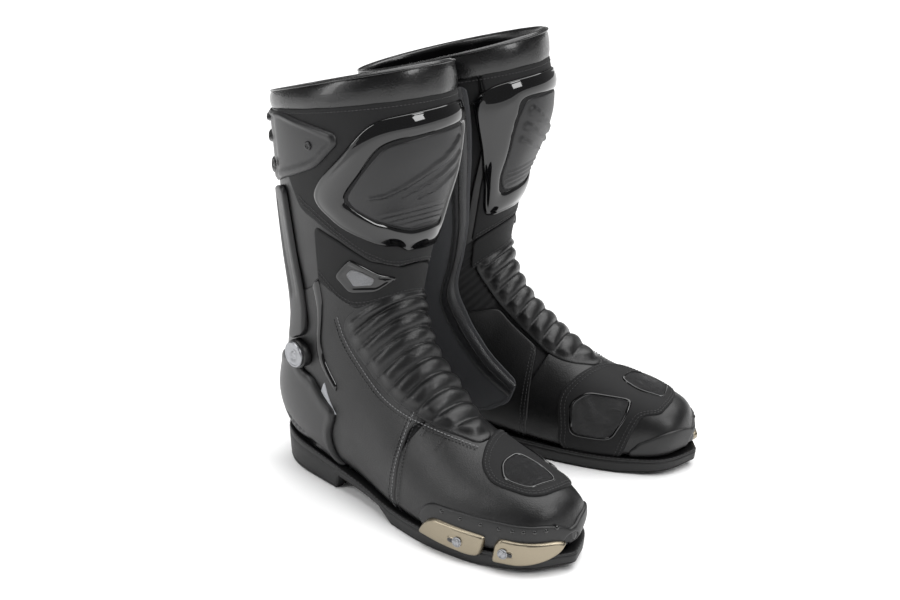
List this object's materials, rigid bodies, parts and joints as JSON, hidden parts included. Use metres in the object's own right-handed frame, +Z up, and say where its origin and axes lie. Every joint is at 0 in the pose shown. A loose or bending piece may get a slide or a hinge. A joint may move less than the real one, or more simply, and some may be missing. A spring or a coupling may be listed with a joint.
{
  "type": "motorcycle riding boots",
  "caption": "Pair of tall road-racing motorcycle boots with shin guard, ribbed instep, hinged outer ankle brace, metal toe wear plates and an inner zip behind a printed flap.",
  "frame": {"origin": "centre of the pair's bounding box on the ground plane, under both soles", "axes": "+Z up; the boots stand as in the picture, the right boot's toe turned 47 degrees from +X towards -Y and the left boot's toe 23 degrees from +X towards -Y; -Y faces the viewer"},
  "size_m": [0.3716, 0.3616, 0.3742],
  "materials": {
    "rubber_sole": "matte moulded rubber",
    "foam": "cloth-faced foam",
    "lining_fabric": "brushed knit",
    "leather": "semi-gloss grained",
    "matte_shell": "fine matte texture",
    "silver_metal": "satin",
    "rubber_rand": "matte",
    "slider_metal": "brushed, warm grey",
    "microfibre": "matte suede-like",
    "gloss_shell": "high gloss",
    "printed_fabric": "fine printed pattern",
    "zip_tape": "semi-gloss",
    "zip_metal": "dark nickel"
  },
  "bodies": {
    "feet": {"right_outsole": "rubber_sole", "right_insole_board": "foam", "right_footbed": "foam", "right_foot_lining": "lining_fabric", "right_vamp": "leather", "right_ankle_quarter": "leather", "right_medial_quarter": "leather", "right_instep_accordion": "leather", "right_heel_cup": "matte_shell", "right_ankle_pivot_disc": "silver_metal", "right_toe_bumper": "rubber_rand", "right_front_toe_slider": "slider_metal", "right_rear_toe_slider": "slider_metal", "right_front_slider_screw": "slider_metal", "right_rear_slider_screw": "slider_metal", "right_shift_pad": "microfibre", "left_outsole": "rubber_sole", "left_insole_board": "foam", "left_footbed": "foam", "left_foot_lining": "lining_fabric", "left_vamp": "leather", "left_ankle_quarter": "leather", "left_medial_quarter": "leather", "left_instep_accordion": "leather", "left_heel_cup": "matte_shell", "left_ankle_pivot_disc": "silver_metal", "left_toe_bumper": "rubber_rand", "left_front_toe_slider": "slider_metal", "left_rear_toe_slider": "slider_metal", "left_front_slider_screw": "slider_metal", "left_rear_slider_screw": "slider_metal", "left_shift_pad": "microfibre"},
    "right_shaft": {"right_shaft_lining": "lining_fabric", "right_calf_shell": "leather", "right_upper_shin_panel": "microfibre", "right_lower_shin_panel": "microfibre", "right_shin_frame": "gloss_shell", "right_shin_insert": "matte_shell", "right_vent_badge": "gloss_shell", "right_calf_plate": "matte_shell", "right_ankle_strut": "matte_shell", "right_collar": "microfibre", "right_storm_flap": "printed_fabric", "right_zip_chain": "zip_tape"},
    "right_zip_slider_body": {"right_zip_slider": "zip_metal"},
    "right_zip_puller_body": {"right_zip_puller": "zip_metal"},
    "left_shaft": {"left_shaft_lining": "lining_fabric", "left_calf_shell": "leather", "left_upper_shin_panel": "microfibre", "left_lower_shin_panel": "microfibre", "left_shin_frame": "gloss_shell", "left_shin_insert": "matte_shell", "left_vent_badge": "gloss_shell", "left_calf_plate": "matte_shell", "left_ankle_strut": "matte_shell", "left_collar": "microfibre", "left_storm_flap": "printed_fabric", "left_zip_chain": "zip_tape"},
    "left_zip_slider_body": {"left_zip_slider": "zip_metal"},
    "left_zip_puller_body": {"left_zip_puller": "zip_metal"}
  },
  "joints": [
    {"name": "right_ankle_flex", "type": "hinge", "parent": "feet", "child": "right_shaft", "pos_m": [-0.16292, -0.01157, 0.116], "axis": [0.7349, 0.6782, 0], "range_deg": [0, 20], "stiffness_Nm_per_rad": 3, "deforming": ["right_ankle_quarter", "right_instep_accordion", "right_storm_flap", "right_zip_chain"]},
    {"name": "right_zip_slide", "type": "slide", "parent": "right_shaft", "child": "right_zip_slider_body", "axis": [-0.0763, -0.0745, -0.9943], "range_m": [0, 0.0592]},
    {"name": "right_zip_pull", "type": "hinge", "parent": "right_zip_slider_body", "child": "right_zip_puller_body", "pos_m": [-0.03315, 0.02476, 0.31393], "axis": [0.5029, -0.8639, 0.0262], "range_deg": [0, 15]},
    {"name": "left_ankle_flex", "type": "hinge", "parent": "feet", "child": "left_shaft", "pos_m": [-0.04109, 0.16724, 0.116], "axis": [0.3939, 0.9191, 0], "range_deg": [0, 20], "stiffness_Nm_per_rad": 3, "deforming": ["left_ankle_quarter", "left_instep_accordion", "left_storm_flap", "left_zip_chain"]},
    {"name": "left_zip_slide", "type": "slide", "parent": "left_shaft", "child": "left_zip_slider_body", "axis": [0.0448, 0.0968, -0.9943], "range_m": [0, 0.0592]},
    {"name": "left_zip_pull", "type": "hinge", "parent": "left_zip_slider_body", "child": "left_zip_puller_body", "pos_m": [-0.03201, 0.03279, 0.31393], "axis": [0.9823, -0.1857, 0.0262], "range_deg": [-15, 0]}
  ]
}
